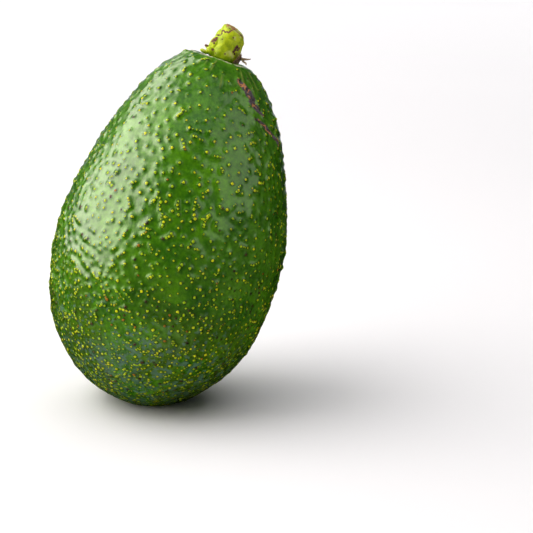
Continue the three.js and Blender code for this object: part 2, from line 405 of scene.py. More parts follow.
def mesh_from(name: str, bm: BMesh) -> Mesh:
    """Turns a bmesh into a mesh and frees it.

    Args:
        name: the mesh's name.
        bm: the bmesh.

    Returns:
        The mesh.
    """
    mesh = bpy.data.meshes.new(name)
    bm.to_mesh(mesh)
    bm.free()
    return mesh


def add_object(name: str, data: bpy.types.ID) -> Object:
    """Puts a new object into the scene.

    Args:
        name: its name.
        data: its mesh, light or camera.

    Returns:
        The object.
    """
    added = bpy.data.objects.new(name, data)
    bpy.context.scene.collection.objects.link(added)
    return added


@dataclass(frozen=True)
class FruitForm:
    """The smooth form of the fruit and how it stands, with the same sizes as its solid.

    Lengths are in millimetres and angles in degrees, but the search for the lowest point goes by radians.
    """

    length: float = 106.0
    belly_radius: float = 33.5
    bluntness: float = 0.302
    taper: float = 0.228
    neck_taper: float = 0.5
    lean_right: float = 15.3
    lean_back: float = 9.9
    flat_depth: float = 2.0
    search_step: float = 0.005
    search_reach: float = 1.2
    heel_droop: float = 4.0
    heel_height: float = 32.0
    stem_end_tilt: float = 3.0
    stem_end_start: float = 84.0
    seat_offset: float = 0.5
    wave_count: int = 14
    wave_longest: float = 30.0
    wave_shortest: float = 8.0
    wave_steepness: float = 0.0052
    dish_radius: float = 8.7
    collar_radius: float = 9.0
    collar_height: float = 0.2
    collar_width: float = 0.6

    def egg(self, share: Array) -> Array:
        """The profile's radius before it is scaled, by the share of the length from the blossom end."""
        taper = np.exp(-self.taper * share - self.neck_taper * share * share)
        return np.sqrt(share) * np.clip(1 - share, 0, None) ** self.bluntness * taper

    @cached_property
    def egg_scale(self) -> float:
        """What the profile is multiplied by to reach the belly's radius."""
        return self.belly_radius / float(self.egg(np.linspace(0, 1, 2001)).max())

    def profile(self, polar: Array) -> tuple[Array, Array]:
        """Radius and height on the profile, by an angle from 0 at the blossom end to pi."""
        share = (1 - np.cos(polar)) / 2
        return self.egg_scale * self.egg(share), self.length * share

    @cached_property
    def meridian(self) -> tuple[Array, Array]:
        """The polar angle against the distance along the profile from the blossom end.

        Returns:
            The angles and the distances.
        """
        polar = np.linspace(0, math.pi, 4001)
        radius, height = self.profile(polar)
        steps = np.hypot(np.diff(radius), np.diff(height))
        return polar, np.concatenate([[0], np.cumsum(steps)])

    def points(self, polar: Array, around: Array) -> Array:
        """Points of the smooth form."""
        radius, height = self.profile(polar)
        return swept(radius, around, height)

    def normals(self, polar: Array, around: Array) -> Array:
        """Outward normals of the smooth form.

        Args:
            polar: angles from 0 at the blossom end to pi.
            around: angles round the axis.

        Returns:
            The normals.
        """
        step = 1e-4
        radius_low, height_low = self.profile(np.clip(polar - step, 0, math.pi))
        radius_high, height_high = self.profile(np.clip(polar + step, 0, math.pi))
        out, along = height_high - height_low, radius_low - radius_high
        size = np.hypot(out, along)
        return swept(out / size, around, along / size)

    def lopside(self, points: Array) -> Array:
        """The droop of the blossom end and the slope of the stem end.

        Args:
            points: points in the form's own frame.

        Returns:
            The points after the droop and the slope.
        """
        shifted = points.copy()
        height = points[:, 2]
        near_stem = smooth_rise(height, self.stem_end_start, self.length)
        shifted[:, 2] -= near_stem * slope(self.stem_end_tilt) * points[:, 0]
        shifted[:, 1] += self.heel_droop * (1 - smooth_rise(height, 0, self.heel_height))
        return shifted

    @cached_property
    def stance(self) -> Array:
        """The matrix that stands the fruit on its flat spot, in the part's frame.

        Returns:
            The matrix.
        """
        axis = np.array([slope(self.lean_right), slope(self.lean_back), 1.0])
        axis /= np.linalg.norm(axis)
        across = np.array([1.0, 0, 0]) - axis * axis[0]
        across /= np.linalg.norm(across)
        turn = np.stack([across, np.cross(axis, across), axis], axis=1)
        low_angles = np.arange(self.search_step, self.search_reach, self.search_step)
        polar, around = np.meshgrid(low_angles, np.arange(0, 2 * math.pi, 2 * self.search_step))
        low_end = self.lopside(self.points(polar.ravel(), around.ravel())) @ turn.T
        lowest = low_end[low_end[:, 2].argmin()]
        return homogeneous(turn, np.array([0, 0, -self.flat_depth]) - lowest)

    @cached_property
    def seat(self) -> Array:
        """The matrix from the stem seat's frame to the form's own frame.

        Returns:
            The matrix.
        """
        place = self.lopside(np.array([[self.seat_offset, 0, self.length]]))[0]
        tilt = math.radians(self.stem_end_tilt)
        flat, steep = math.cos(tilt), math.sin(tilt)
        return homogeneous(np.array([[flat, 0, steep], [0, 1, 0], [-steep, 0, flat]]), place)

    @cached_property
    def seat_in_part(self) -> Array:
        """The matrix from the stem seat's frame to the part's frame."""
        return self.stance @ self.seat

    def undulation(self, points: Array) -> Array:
        """The slow swell and dip of the surface, the same waves as the solid has.

        Args:
            points: points in the form's own frame.

        Returns:
            How far each is raised, in millimetres.
        """
        turns = np.arange(self.wave_count) * GOLDEN_ANGLE
        rises = 1 - 2 * (np.arange(self.wave_count) + 0.5) / self.wave_count
        headings = swept(np.sqrt(1 - rises**2), turns, rises)
        waves = np.linspace(self.wave_longest, self.wave_shortest, self.wave_count)
        swings = np.sin(2 * math.pi * (points @ headings.T) / waves + turns)
        return swings @ (self.wave_steepness * waves)

    def collar(self, points: Array) -> Array:
        """The low ridge round the stem's seat."""
        ridge = self.collar_height * np.exp(-((self.from_collar(points) / self.collar_width) ** 2))
        return np.where(points[:, 2] > self.length / 2, ridge, 0)

    def from_collar(self, points: Array) -> Array:
        """How far outside the ridge round the seat each point is."""
        return np.hypot(points[:, 0] - self.seat_offset, points[:, 1]) - self.collar_radius


class Piece:
    """What every finished piece of the avocado shares."""

    name: str
    slot: Slot
    node: str

    def mesh_of(self, bm: BMesh) -> Mesh:
        """Turns a bmesh into this piece's mesh and frees it."""
        return mesh_from(self.name, bm)

    @staticmethod
    def read_points(mesh: Mesh) -> Array:
        """The places of a mesh's vertices.

        Args:
            mesh: the mesh.

        Returns:
            A row for each vertex.
        """
        flat = np.empty(len(mesh.vertices) * 3, np.float32)
        mesh.vertices.foreach_get("co", flat)
        return flat.reshape(-1, 3).astype(float)

    @staticmethod
    def write_points(mesh: Mesh, points: Array) -> None:
        """Puts a mesh's vertices at new places."""
        mesh.vertices.foreach_set("co", points.astype(np.float32).ravel())
        mesh.update()

    @staticmethod
    def write_numbers(mesh: Mesh, name: str, values: Array, domain: str = "POINT") -> None:
        """Stores one number or one vector for each vertex or face, for the material to read.

        Args:
            mesh: the mesh.
            name: what the material calls them.
            values: the numbers or the vectors.
            domain: POINT for vertices or FACE for faces.
        """
        kind, key = ("FLOAT", "value") if values.ndim == 1 else ("FLOAT_VECTOR", "vector")
        layer = mesh.attributes.new(name, kind, domain)
        layer.data.foreach_set(key, values.astype(np.float32).ravel())

    def write_all(self, mesh: Mesh, numbers: dict[str, Array]) -> None:
        """Stores a number of each name for each vertex."""
        for name, values in numbers.items():
            self.write_numbers(mesh, name, values)

    def install(self, mesh: Mesh, material: Material) -> Object:
        """Makes the object of this piece and lets it stand for its solid.

        Args:
            mesh: the finished mesh, in metres, in the part's frame.
            material: its finish.

        Returns:
            The object.
        """
        mesh.materials.append(material)
        mesh.shade_smooth()
        piece = add_object(self.name, mesh)
        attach(piece, BODY)
        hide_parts(self.node)
        triangles = sum(len(face.vertices) - 2 for face in mesh.polygons)
        LOG.info("%s: %d vertices, %d triangles", self.name, len(mesh.vertices), triangles)
        return piece


@dataclass(frozen=True)
class Lenticels:
    """The raised dots of the skin."""

    vertices: Array
    centres: Array
    radii: Array
    heights: Array
    darkness: Array


@dataclass(frozen=True)
class SkinFinish:
    """The skin's glossy green, its dots, its scar and its collar's pale rim, with painted shade and
    reflection.

    A share is how strongly a colour lies over the one below. The dots' pairs are where an edge or a slope
    begins and ends, in shares of a dot's radius; those of the mound and the band are in millimetres, and
    so are the heights of the fine relief.
    """

    deep_green: Colour = srgb(38, 96, 0)
    fresh_green: Colour = srgb(90, 150, 0)
    olive: Colour = srgb(72, 88, 0)
    painted_shade_green: Colour = srgb(14, 54, 0)
    waxy_and_floor_sheen_green: Colour = srgb(84, 118, 100)
    ridge_olive: Colour = srgb(158, 164, 74)
    dot_yellow: Colour = srgb(240, 238, 0)
    dot_green: Colour = srgb(180, 212, 0)
    dot_orange: Colour = srgb(186, 120, 8)
    dot_rust: Colour = srgb(92, 54, 34)
    dot_black: Colour = srgb(34, 20, 20)
    scar_grey: Colour = srgb(98, 86, 98)
    scar_dark: Colour = srgb(52, 40, 48)
    scar_crack: Colour = srgb(196, 128, 84)
    collar_pale: Colour = srgb(206, 196, 174)
    mottle_share: float = 0.55
    speck_share: float = 0.4
    olive_share: float = 0.5
    waxy_and_sheen_share: float = 0.72
    hollow_shade_share: float = 0.65
    ridge_share: float = 0.4
    shade_ring_share: float = 0.62
    collar_share: float = 0.8
    dot_edge: Band = (1.1, 0.8)
    shade_ring_outside: Band = (2.1, 1.3)
    shade_ring_inside: Band = (0.9, 1.1)
    tip_slope: Band = (1.5, 0.1)
    tip_height: float = 0.4
    mound_slope: Band = (1.25, 0.3)
    mound_height: float = 0.17
    band_slope: Band = (0.42, 0.18)
    fine_height: float = 0.045
    middle_height: float = 0.07
    broad_height: float = 0.06
    streak_height: float = 0.11
    skin_roughness: float = 0.27
    roughness_spread: float = 0.06
    dry_roughness: float = 0.62
    dot_roughness: float = 0.38
    dot_dullness: float = 0.85
    coat_roughness: float = 0.17
    shine: float = 0.32
    shine_tint: Colour = (1.0, 1.0, 0.55, 1.0)

    def material(self) -> Material:
        """Makes the nodes of the skin's finish.

        Returns:
            The material.
        """
        shader = Shader("skin_finish")
        green = self._green(shader)
        dots, dot_colour, mound, ring = self._dots(shader)
        scar, scar_colour = self._scar(shader)
        collar = self._collar(shader)
        # The dark ring round each dot is painted shade, in the same dark green as the painted shade in the
        # hollows.
        shade_ring_layer = (ring * self.shade_ring_share, self.painted_shade_green)
        colour = shader.layered(
            green, shade_ring_layer, (dots, dot_colour), (collar, self.collar_pale), (scar, scar_colour)
        )
        dry = scar.at_least(collar)
        relief = shader.grain(0.5, 2.0, 0.55) * self.fine_height
        relief = relief + shader.grain(1.0, 2.0, 0.5, 0.5) * self.middle_height
        relief = relief + shader.grain(1.9, 2.0, 0.5) * self.broad_height
        relief = relief + shader.streaks(0.8, 3.0) * self.streak_height + mound
        uneven = shader.grain(3.5, 2.0, 0.6).rise(0.3, 0.75) * self.roughness_spread
        roughness = (self.skin_roughness + uneven).at_least(dry * self.dry_roughness)
        shader.set(
            Base_Color=colour,
            Roughness=roughness.at_least(dots * self.dot_roughness),
            Coat_Weight=(1 - dry) * (1 - dots * self.dot_dullness),
            Coat_Roughness=self.coat_roughness,
            Specular_IOR_Level=self.shine,
            Specular_Tint=self.shine_tint,
            Normal=shader.bump(relief),
        )
        return shader.material

    def _green(self, shader: Shader) -> Wire:
        """The mottled green under the dots, with painted shade in the relief's hollows and a painted floor
        reflection low down.

        Args:
            shader: the skin's nodes.

        Returns:
            The green.
        """
        along = shader.measured("along")
        mottle = shader.grain(9.0, 3.0, 0.6).rise(0.32, 0.7)
        speck = shader.grain(1.1, 2.0, 0.6).rise(0.38, 0.7)
        low = along.rise(0.5, 0.12) * shader.grain(13.0, 2.0, 0.5).rise(0.42, 0.58)
        # Bluish-grey patches low on the fruit: partly the skin's waxy bloom, partly a painted reflection of
        # the pale floor.
        waxy_and_sheen = (along.rise(0.34, 0.08) * 0.14 + shader.grain(2.0, 3.0, 0.62)).rise(0.625, 0.645)
        # Painted shade: the green is darkened where the relief dips, as if its hollows lay in shade.
        hollow = shader.measured("relief").rise(0.02, -0.16)
        ridge = shader.measured("crease").rise(0.35, 0.7)
        return shader.layered(
            self.deep_green,
            (mottle * self.mottle_share + speck * self.speck_share, self.fresh_green),
            (low * self.olive_share, self.olive),
            (waxy_and_sheen * along.rise(0.4, 0.25) * self.waxy_and_sheen_share, self.waxy_and_floor_sheen_green),
            (hollow * self.hollow_shade_share, self.painted_shade_green),
            (ridge * self.ridge_share, self.ridge_olive),
        )

    def _dots(self, shader: Shader) -> tuple[Wire, Wire, Wire, Wire]:
        """Where the dots are, their colour, the mound of each and the ring of painted shade round it.

        Args:
            shader: the skin's nodes.

        Returns:
            The four, in that order.
        """
        look = shader.measured("dot_look", Output.VECTOR)
        radius, darkness, tone = (shader.part_of(look, axis) for axis in range(3))
        ragged = shader.jitter(0.45, 1.0, 0.5, 0.5)
        away = shader.distance(shader.place, shader.measured("dot_centre", Output.VECTOR))
        share = (away + ragged) / radius
        colour = shader.layered(
            self.dot_yellow,
            (tone.rise(0.0, 0.7), self.dot_green),
            (tone.rise(0.975, 0.985), self.dot_orange),
            (darkness.rise(0.2, 0.45), self.dot_rust),
            (darkness.rise(0.5, 0.8) * share.rise(1.0, 0.4), self.dot_black),
        )
        # Painted shade: a dark ring round each dot, where the crevice at the foot of its mound would lie in
        # shade.
        ring = share.rise(*self.shade_ring_outside) * share.rise(*self.shade_ring_inside)
        mound = share.rise(*self.tip_slope) * self.tip_height
        mound = mound + away.rise(*self.mound_slope) * self.mound_height
        return share.rise(*self.dot_edge), colour, mound, ring

    def _scar(self, shader: Shader) -> tuple[Wire, Wire]:
        """The dry scar on the shoulder: where it is, and its cracked colour.

        Args:
            shader: the skin's nodes.

        Returns:
            The two.
        """
        ragged = shader.jitter(1.1, 3.0, 0.65, 1.5)
        inside = (shader.measured("scar") + ragged).rise(1.08, 0.88)
        dark = shader.grain(0.8, 2.0, 0.6).rise(0.35, 0.65)
        crack = shader.cells(1.9, "DISTANCE_TO_EDGE").rise(0.14, 0.04)
        patch = shader.grain(1.7, 2.0, 0.6).rise(0.44, 0.56)
        layers = (dark, self.scar_dark), (crack * patch, self.scar_crack)
        return inside, shader.layered(self.scar_grey, *layers)

    def _collar(self, shader: Shader) -> Wire:
        """The thin pale rim round the stem's seat, broken here and there.

        Args:
            shader: the skin's nodes.

        Returns:
            How strongly the rim covers the green.
        """
        ragged = shader.jitter(1.4, 2.0, 0.6, 0.5)
        off_rim = shader.measured("from_rim") + ragged
        outer, inner = self.band_slope
        band = off_rim.rise(outer, inner) * off_rim.rise(-outer, -inner)
        return band * shader.grain(2.2, 2.0, 0.6).rise(0.36, 0.52) * self.collar_share


@dataclass
class Skin(Piece):
    """The fine surface of the fruit: its form, its hammered relief and its raised dots.

    calm is the share of the form's waves that is kept. The pairs for the dots' radius and height are the
    least and what the largest adds. The stops go by the share of the length from the blossom end. A point
    of the scar is a height along the axis, an angle round it in degrees and a half width.
    """

    form: FruitForm
    name: str = "fruit_skin"
    slot: Slot = Slot.SKIN
    node: str = "fruit"
    side_columns: int = 105
    side_rows: int = 166
    seed: int = 7
    calm: float = 0.6
    dish_floor_radius: float = 8.3
    dish_depth: float = 0.8
    dish_rise_right: float = 0.75
    dish_rise_across: Band = (2.5, 6.5)
    dish_rise_outwards: float = 7.5
    below_seat: float = 6.0
    edge_softness: float = 0.12
    crease_height: float = 0.14
    spacing: Stops = ((0.0, 1.7), (0.12, 1.75), (0.3, 2.2), (0.5, 2.8), (0.7, 3.2), (0.85, 3.7), (1.0, 4.0))
    spacing_spread: Band = (0.62, 1.08)
    spots_tried: int = 45000
    dot_radius: Band = (0.22, 0.25)
    dot_height: Band = (0.11, 0.17)
    radius_factor: Stops = ((0.0, 0.95), (0.3, 1.0), (0.7, 1.05), (1.0, 1.0))
    height_factor: Stops = ((0.0, 0.35), (0.15, 0.5), (0.4, 1.0))
    dark_share: Stops = ((0.0, 0.1), (0.35, 0.09), (0.6, 0.05), (1.0, 0.06))
    tip_width: float = 0.55
    tip_share: float = 0.7
    mound_width: float = 1.1
    mound_share: float = 0.75
    broad_dents: Band = (6.5, 0.06)
    folds: tuple[Place, ...] = ((4.0, 5.0, 0.1), (2.0, 9.0, 0.05))
    long_dents: Band = (1.3, 0.035)
    crease_count: float = 13.0
    crease_start: float = 10.5
    crease_fade: Band = (13.0, 22.0)
    rim_clearance: float = 1.2
    row_share: float = 0.24
    row_step: Band = (0.75, 1.05)
    far: float = 50.0
    scar: tuple[Place, ...] = (
        (101.2, -61.0, 0.7), (99.6, -52.5, 1.3), (97.8, -48.0, 1.75),
        (96.0, -47.0, 1.2), (94.4, -41.5, 0.9), (93.2, -36.5, 0.3),
    )
    scar_tail: tuple[Place, ...] = (
        (91.8, -43.5, 0.5), (90.0, -34.0, 0.85), (88.4, -27.5, 0.65), (85.6, -18.5, 0.3),
    )

    def build(self) -> Object:
        """Makes the skin.

        Returns:
            Its object.
        """
        rng = np.random.default_rng(self.seed)
        mesh = self._even_box()
        polar, around = self._wrap(self.read_points(mesh))
        smooth = self.form.points(polar, around)
        normals = self.form.normals(polar, around)
        lenticels = self._scatter_lenticels(smooth, rng)
        bumps = self._lenticel_relief(smooth, lenticels)
        hammered = self._hammered_relief(smooth)
        creases = self._seat_creases(smooth)
        height = self.form.undulation(smooth) * self.calm + hammered + bumps + self.form.collar(smooth)
        height += creases * self.crease_height
        local = self._sink_dish(self.form.lopside(smooth + normals * height[:, None]))
        placed = moved(local, self.form.stance)
        placed[:, 2] = smooth_floor(placed[:, 2], 0.0, self.edge_softness)
        self.write_points(mesh, placed * MM)
        looks = np.stack([lenticels.radii, lenticels.darkness, rng.random(len(lenticels.radii))], axis=1)
        nearest = self._nearest_lenticel(mesh, smooth, lenticels)
        self.write_numbers(mesh, "dot_centre", placed[lenticels.vertices][nearest] * MM, "FACE")
        self.write_numbers(mesh, "dot_look", looks[nearest], "FACE")
        off_rim = np.where(smooth[:, 2] > self.form.length / 2, self.form.from_collar(smooth), self.far)
        along = smooth[:, 2] / self.form.length
        scar = self._scar_share(smooth)
        numbers = {"relief": hammered, "crease": creases, "along": along, "scar": scar, "from_rim": off_rim}
        self.write_all(mesh, numbers)
        return self.install(mesh, SkinFinish().material())

    def _even_box(self) -> Mesh:
        """A box whose faces are evenly divided, with more rows up its sides than columns round it.

        Returns:
            The mesh of the box.
        """
        bm = bmesh.new()
        bmesh.ops.create_cube(bm, size=2)
        upright = [edge for edge in bm.edges if abs(edge.verts[0].co.z - edge.verts[1].co.z) > 1]
        bmesh.ops.subdivide_edges(bm, edges=upright, cuts=self.side_rows - 1)
        level = [edge for edge in bm.edges if abs(edge.verts[0].co.z - edge.verts[1].co.z) < 1e-6]
        bmesh.ops.subdivide_edges(bm, edges=level, cuts=self.side_columns - 1, use_grid_fill=True)
        return self.mesh_of(bm)

    def _wrap(self, box: Array) -> tuple[Array, Array]:
        """Wraps the box over the form with even steps along it.

        Args:
            box: the box's vertices, from -1 to 1 each way.

        Returns:
            The polar angle and the angle round the axis of each vertex.
        """
        x, y, z = box.T
        wide = np.abs(x) >= np.abs(y)
        with np.errstate(divide="ignore", invalid="ignore"):
            ratio = np.where(wide, y / x, x / y)
        ratio = np.nan_to_num(ratio, nan=0.0, posinf=0.0, neginf=0.0)
        quarter = math.pi / 4 * ratio
        around = np.where(wide, quarter + np.where(x < 0, math.pi, 0), math.pi / 2 - quarter)
        around = np.where(~wide & (y < 0), around + math.pi, around)
        table_polar, table_arc = self.form.meridian
        total = table_arc[-1]
        steps = self.side_rows + self.side_columns
        cap = total * self.side_columns / 2 / steps
        side = cap + (z + 1) / 2 * (total - 2 * cap)
        ring = np.maximum(np.abs(x), np.abs(y))
        arc = np.where(z > 1 - 1e-6, total - cap * ring, np.where(z < -1 + 1e-6, cap * ring, side))
        return np.interp(arc, table_arc, table_polar), around

    def _scatter_lenticels(self, smooth: Array, rng: np.random.Generator) -> Lenticels:
        """Scatters the dots over the vertices, with some of them in pairs and clusters.

        Args:
            smooth: the form's point for each vertex.
            rng: the source of random draws.

        Returns:
            The dots.
        """
        along = smooth[:, 2] / self.form.length
        spacing = follow(along, self.spacing)
        off_seat = np.hypot(smooth[:, 0] - self.form.seat_offset, smooth[:, 1])
        open_skin = (along < 0.5) | (off_seat > self.form.collar_radius + self.rim_clearance)
        cell = float(spacing.max())
        cells = np.floor(smooth / cell).astype(int)
        taken: dict[tuple[int, int, int], list[int]] = {}
        chosen: list[int] = []
        around_cell = list(product((-1, 0, 1), repeat=3))
        for i in rng.permutation(len(smooth))[:self.spots_tried].tolist():
            if not open_skin[i]:
                continue
            room = spacing[i] * rng.uniform(*self.spacing_spread)
            a, b, c = cells[i].tolist()
            near = [j for da, db, dc in around_cell for j in taken.get((a + da, b + db, c + dc), ())]
            if near and np.min(np.sum((smooth[near] - smooth[i]) ** 2, axis=1)) < room * room:
                continue
            taken.setdefault((a, b, c), []).append(i)
            chosen.append(i)
        chosen += self._companions(smooth, chosen, rng)
        vertices = np.array(chosen)
        count = len(vertices)
        share = along[vertices]
        size = rng.random(count)
        radii = (self.dot_radius[0] + self.dot_radius[1] * size**1.3) * follow(share, self.radius_factor)
        heights = (self.dot_height[0] + self.dot_height[1] * size) * follow(share, self.height_factor)
        dark = rng.random(count) < follow(share, self.dark_share)
        darkness = np.where(dark, rng.uniform(0.3, 1.0, count), 0.0)
        LOG.info("lenticels: %d", count)
        return Lenticels(vertices, smooth[vertices], radii, heights, darkness)

    def _companions(self, smooth: Array, chosen: list[int], rng: np.random.Generator) -> list[int]:
        """Short rows of one to three more dots close beside some of the chosen ones.

        Args:
            smooth: the form's point for each vertex.
            chosen: the vertices that hold a dot.
            rng: the source of random draws.

        Returns:
            The vertices of the dots that are added.
        """
        tree = tree_of(smooth)
        used = set(chosen)
        added: list[int] = []
        for i in chosen:
            if rng.random() > self.row_share:
                continue
            step = rng.normal(0, 1, 3)
            step *= rng.uniform(*self.row_step) / np.linalg.norm(step)
            for number in range(1, rng.integers(2, 5)):
                j = tree.find(smooth[i] + step * number)[1]
                if j not in used:
                    used.add(j)
                    added.append(j)
        return added

    @staticmethod
    def _nearest_lenticel(mesh: Mesh, smooth: Array, lenticels: Lenticels) -> Array:
        """The dot that is nearest to each face.

        Args:
            mesh: the skin's mesh.
            smooth: the form's point for each vertex.
            lenticels: the dots.

        Returns:
            A dot's number for each face.
        """
        corners = np.empty(len(mesh.loops), np.int32)
        mesh.loops.foreach_get("vertex_index", corners)
        middles = smooth[corners.reshape(-1, 4)].mean(axis=1)
        tree = tree_of(lenticels.centres)
        return np.array([tree.find(point)[1] for point in middles.tolist()])

    def _lenticel_relief(self, smooth: Array, lenticels: Lenticels) -> Array:
        """How much the dots raise the skin at each vertex.

        Args:
            smooth: the form's point for each vertex.
            lenticels: the dots.

        Returns:
            The heights in millimetres.
        """
        tree = tree_of(lenticels.centres)
        height = np.zeros(len(smooth))
        for i, point in enumerate(smooth.tolist()):
            for _, j, away in tree.find_n(point, 3):
                tip = math.exp(-((away / self.tip_width) ** 2))
                mound = math.exp(-((away / self.mound_width) ** 2))
                height[i] += lenticels.heights[j] * (self.tip_share * tip + self.mound_share * mound)
        return height

    def _hammered_relief(self, smooth: Array) -> Array:
        """The dents and folds between the dots.

        Args:
            smooth: the form's point for each vertex.

        Returns:
            The heights in millimetres.
        """
        size, depth = self.broad_dents
        height = wander(smooth, size) * depth
        for size, shift, depth in self.folds:
            height += (np.abs(wander(smooth, size, shift)) - 0.25) * depth
        size, depth = self.long_dents
        return height + wander(smooth * np.array([1, 1, 0.3]), size, 2.0) * depth

    def _seat_creases(self, smooth: Array) -> Array:
        """Creases that run outwards from the stem's seat, from about -1 to 1.

        Args:
            smooth: the form's point for each vertex.

        Returns:
            How far up or down each vertex is.
        """
        x, y = smooth[:, 0] - self.form.seat_offset, smooth[:, 1]
        radius = np.hypot(x, y)
        turn = self.crease_count / np.maximum(radius, 1e-6)
        streaks = wander(np.stack([x * turn, y * turn, radius * 0.16], axis=1), 1.0, 4.0)
        fade = smooth_rise(radius, self.form.collar_radius, self.crease_start)
        fade *= 1 - smooth_rise(radius, *self.crease_fade)
        return np.where(smooth[:, 2] > self.form.length / 2, 1.6 * streaks * fade, 0)

    def _sink_dish(self, local: Array) -> Array:
        """Presses the dish of the stem's seat into the surface, less deeply on the right.

        Args:
            local: points in the form's own frame.

        Returns:
            The points, with the dish pressed in.
        """
        seat = moved(local, np.linalg.inv(self.form.seat))
        radius = np.hypot(seat[:, 0], seat[:, 1])
        stops = [0, self.dish_floor_radius, self.form.dish_radius, self.form.dish_radius + 1, 100]
        top = np.interp(radius, stops, [-self.dish_depth, -self.dish_depth, 0, 3, 400])
        top += 0.06 * wander(seat * np.array([1, 1, 0]), 1.3)
        to_right = smooth_rise(seat[:, 0], *self.dish_rise_across)
        to_right *= smooth_rise(radius, self.form.dish_radius, self.dish_rise_outwards)
        top += self.dish_rise_right * to_right
        near = (radius < self.form.dish_radius + 2) & (seat[:, 2] > -self.below_seat)
        seat[:, 2] = np.where(near, -smooth_floor(-seat[:, 2], -top, self.edge_softness), seat[:, 2])
        return moved(seat, self.form.seat)

    def _scar_share(self, smooth: Array) -> Array:
        """The distance from the scar's middle line, in shares of its half width.

        Args:
            smooth: the form's point for each vertex.

        Returns:
            The shares, which are large far from the scar.
        """
        best = np.full(len(smooth), self.far)
        angles = np.degrees(np.arctan2(smooth[:, 1], smooth[:, 0]))
        near = (smooth[:, 2] > 80) & (angles > -80) & (angles < 0)
        spots = smooth[near]
        share = best[near]
        for line in (self.scar, self.scar_tail):
            places = np.array([self._on_skin(height, angle) for height, angle, _ in line])
            widths = [width for _, _, width in line]
            for start, end, w0, w1 in zip(places, places[1:], widths, widths[1:]):
                part, away = from_segment(spots, start, end)
                share = np.minimum(share, away / (w0 + (w1 - w0) * part))
        best[near] = share
        return best

    def _on_skin(self, height: float, angle: float) -> Array:
        """The point of the smooth form at a height along the axis and an angle round it."""
        radius = self.form.egg_scale * float(self.form.egg(np.array(height / self.form.length)))
        return swept(radius, math.radians(angle), height)


@dataclass(frozen=True)
class StemFinish:
    """The lime green of the stem with its brown marks and its cut end."""

    lime: Colour = srgb(198, 212, 20)
    pale_lime: Colour = srgb(220, 216, 130)
    shade_green: Colour = srgb(148, 170, 2)
    brown: Colour = srgb(122, 76, 62)
    dark_brown: Colour = srgb(66, 34, 36)
    crust_tan: Colour = srgb(170, 118, 78)
    cut_pale: Colour = srgb(186, 196, 96)

    def material(self) -> Material:
        """Makes the nodes of the stem's finish.

        Returns:
            The material.
        """
        shader = Shader("stem_finish")
        streak = shader.grain(1.6, 3.0, 0.6, 0.6)
        ragged = shader.jitter(0.7, 3.0, 0.65, 1.3)
        marks = (shader.measured("mark") + ragged * 0.55).rise(0.22, 0.42)
        rim = (shader.measured("rim") + ragged * 0.35).rise(0.34, 0.16)
        specks = shader.cells(1.9).rise(0.13, 0.07) * shader.grain(3.0, 1.0, 0.5).rise(0.5, 0.6)
        brown = marks.at_least(rim).at_least(specks * 0.8)
        dark = shader.grain(0.5, 2.0, 0.6).rise(0.4, 0.62)
        crust = shader.measured("top") * shader.grain(0.9, 2.0, 0.6).rise(0.4, 0.52)
        colour = shader.layered(
            self.lime,
            (streak.rise(0.3, 0.7), self.shade_green),
            (shader.grain(2.6, 2.0, 0.5).rise(0.52, 0.7) * 0.7, self.pale_lime),
            (shader.measured("cut").rise(0.0, 0.4) * 0.8, self.cut_pale),
            (brown, shader.layered(self.brown, (dark, self.dark_brown), (crust, self.crust_tan))),
        )
        relief = shader.grain(0.35, 3.0, 0.6) * 0.05 + streak * 0.05 - brown * 0.03
        shader.set(
            Base_Color=colour,
            Roughness=0.44 + brown * 0.3,
            Specular_IOR_Level=0.3,
            Specular_Tint=(1.0, 1.0, 0.7, 1.0),
            Normal=shader.bump(relief),
        )
        return shader.material


